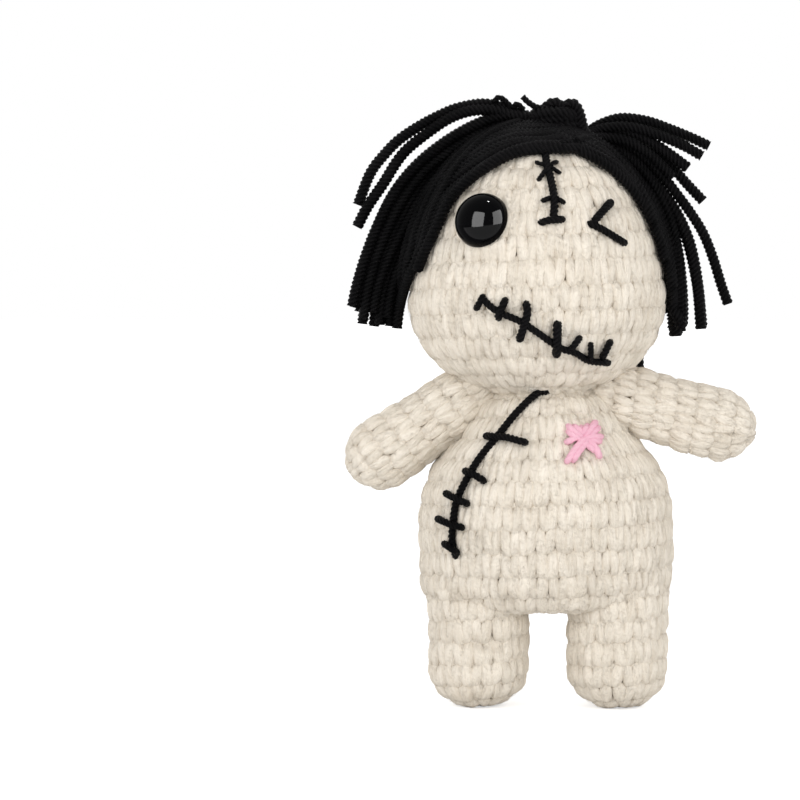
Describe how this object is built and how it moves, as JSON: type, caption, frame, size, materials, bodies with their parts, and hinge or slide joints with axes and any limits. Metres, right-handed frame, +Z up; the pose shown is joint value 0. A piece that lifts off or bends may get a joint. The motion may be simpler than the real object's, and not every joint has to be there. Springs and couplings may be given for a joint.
{
  "type": "crochet voodoo doll",
  "caption": "Stuffed crochet doll with a large head, short arms and legs, one button eye, stitched scars and mouth, a small pink heart and loose yarn hair.",
  "frame": {"origin": "centre of the doll's bounding box in plan, on the plane of its soles", "axes": "+Z up through the head, -Y the way the face looks, +X the doll's own left"},
  "size_m": [0.1048, 0.071, 0.1566],
  "materials": {
    "cream_yarn": "matt cream cotton yarn in single crochet",
    "filling": "loose white fibre filling",
    "black_yarn": "matt black twisted yarn",
    "pink_yarn": "matt pink yarn",
    "eye_gloss": "polished black plastic",
    "washer_plastic": "moulded white plastic"
  },
  "bodies": {
    "torso": {"torso_shell": "cream_yarn", "torso_stuffing": "filling", "body_seam_line": "black_yarn", "body_seam_stitch_1": "black_yarn", "body_seam_stitch_2": "black_yarn", "body_seam_stitch_3": "black_yarn", "body_seam_stitch_4": "black_yarn", "body_seam_stitch_5": "black_yarn", "heart_stitch_1": "pink_yarn", "heart_stitch_2": "pink_yarn", "heart_stitch_3": "pink_yarn", "heart_stitch_4": "pink_yarn", "heart_stitch_5": "pink_yarn"},
    "left_leg": {"left_leg_shell": "cream_yarn", "left_leg_stuffing": "filling"},
    "right_leg": {"right_leg_shell": "cream_yarn", "right_leg_stuffing": "filling"},
    "left_arm": {"left_arm_shell": "cream_yarn", "left_arm_stuffing": "filling"},
    "right_arm": {"right_arm_shell": "cream_yarn", "right_arm_stuffing": "filling"},
    "neck_ring": {"neck_seam": "cream_yarn"},
    "neck_core": {"neck_stuffing": "filling"},
    "head": {"head_shell": "cream_yarn", "head_stuffing": "filling", "eye_button": "eye_gloss", "eye_washer": "washer_plastic", "wink_upper_stitch": "black_yarn", "wink_lower_stitch": "black_yarn", "scar_line": "black_yarn", "scar_star_stitch_1": "black_yarn", "scar_star_stitch_2": "black_yarn", "scar_middle_stitch": "black_yarn", "scar_bottom_stitch": "black_yarn", "mouth_line": "black_yarn", "mouth_stitch_1": "black_yarn", "mouth_stitch_2": "black_yarn", "mouth_stitch_3": "black_yarn", "mouth_stitch_4": "black_yarn", "mouth_stitch_5": "black_yarn", "mouth_stitch_6": "black_yarn", "mouth_stitch_7": "black_yarn", "hair_knot": "black_yarn", "hair_loop_1": "black_yarn", "hair_loop_2": "black_yarn", "hair_cut_end": "black_yarn"},
    "left_hair": {"left_lock_1": "black_yarn", "left_lock_2": "black_yarn", "left_lock_3": "black_yarn", "left_lock_4": "black_yarn", "left_lock_5": "black_yarn"},
    "right_hair": {"right_lock_1": "black_yarn", "right_lock_2": "black_yarn", "right_lock_3": "black_yarn", "right_lock_4": "black_yarn", "right_lock_5": "black_yarn"},
    "back_hair": {"back_lock_1": "black_yarn", "back_lock_2": "black_yarn", "back_lock_3": "black_yarn"}
  },
  "joints": [
    {"name": "head_turn", "type": "hinge", "parent": "torso", "child": "neck_ring", "pos_m": [-0.00089, -0.00245, 0.07], "axis": [0, 0, 1], "range_deg": [-20, 20], "stiffness_Nm_per_rad": 0.12},
    {"name": "head_nod", "type": "hinge", "parent": "neck_ring", "child": "neck_core", "pos_m": [-0.00089, -0.00245, 0.07], "axis": [1, 0, 0], "range_deg": [-8, 8], "stiffness_Nm_per_rad": 0.3},
    {"name": "head_tilt", "type": "hinge", "parent": "neck_core", "child": "head", "pos_m": [-0.00089, -0.00245, 0.07], "axis": [0, 1, 0], "range_deg": [-6, 6], "stiffness_Nm_per_rad": 0.3},
    {"name": "left_arm_raise", "type": "hinge", "parent": "torso", "child": "left_arm", "pos_m": [0.01911, -0.00245, 0.077], "axis": [0, -1, 0], "range_deg": [-25, 10], "stiffness_Nm_per_rad": 0.03},
    {"name": "right_arm_raise", "type": "hinge", "parent": "torso", "child": "right_arm", "pos_m": [-0.02089, -0.00245, 0.077], "axis": [0, 1, 0], "range_deg": [0, 20], "stiffness_Nm_per_rad": 0.03},
    {"name": "left_leg_swing", "type": "hinge", "parent": "torso", "child": "left_leg", "pos_m": [0.01751, -0.00245, 0.0255], "axis": [1, 0, 0], "range_deg": [-15, 15], "stiffness_Nm_per_rad": 0.15},
    {"name": "right_leg_swing", "type": "hinge", "parent": "torso", "child": "right_leg", "pos_m": [-0.01799, -0.00245, 0.0255], "axis": [1, 0, 0], "range_deg": [-15, 15], "stiffness_Nm_per_rad": 0.15},
    {"name": "left_hair_lift", "type": "hinge", "parent": "head", "child": "left_hair", "pos_m": [-0.00329, -0.00245, 0.148], "axis": [0, -1, 0], "range_deg": [0, 30], "stiffness_Nm_per_rad": 0.004},
    {"name": "right_hair_lift", "type": "hinge", "parent": "head", "child": "right_hair", "pos_m": [-0.00329, -0.00245, 0.148], "axis": [0, 1, 0], "range_deg": [0, 30], "stiffness_Nm_per_rad": 0.004},
    {"name": "back_hair_lift", "type": "hinge", "parent": "head", "child": "back_hair", "pos_m": [-0.00329, -0.00245, 0.148], "axis": [1, 0, 0], "range_deg": [0, 30], "stiffness_Nm_per_rad": 0.004}
  ]
}
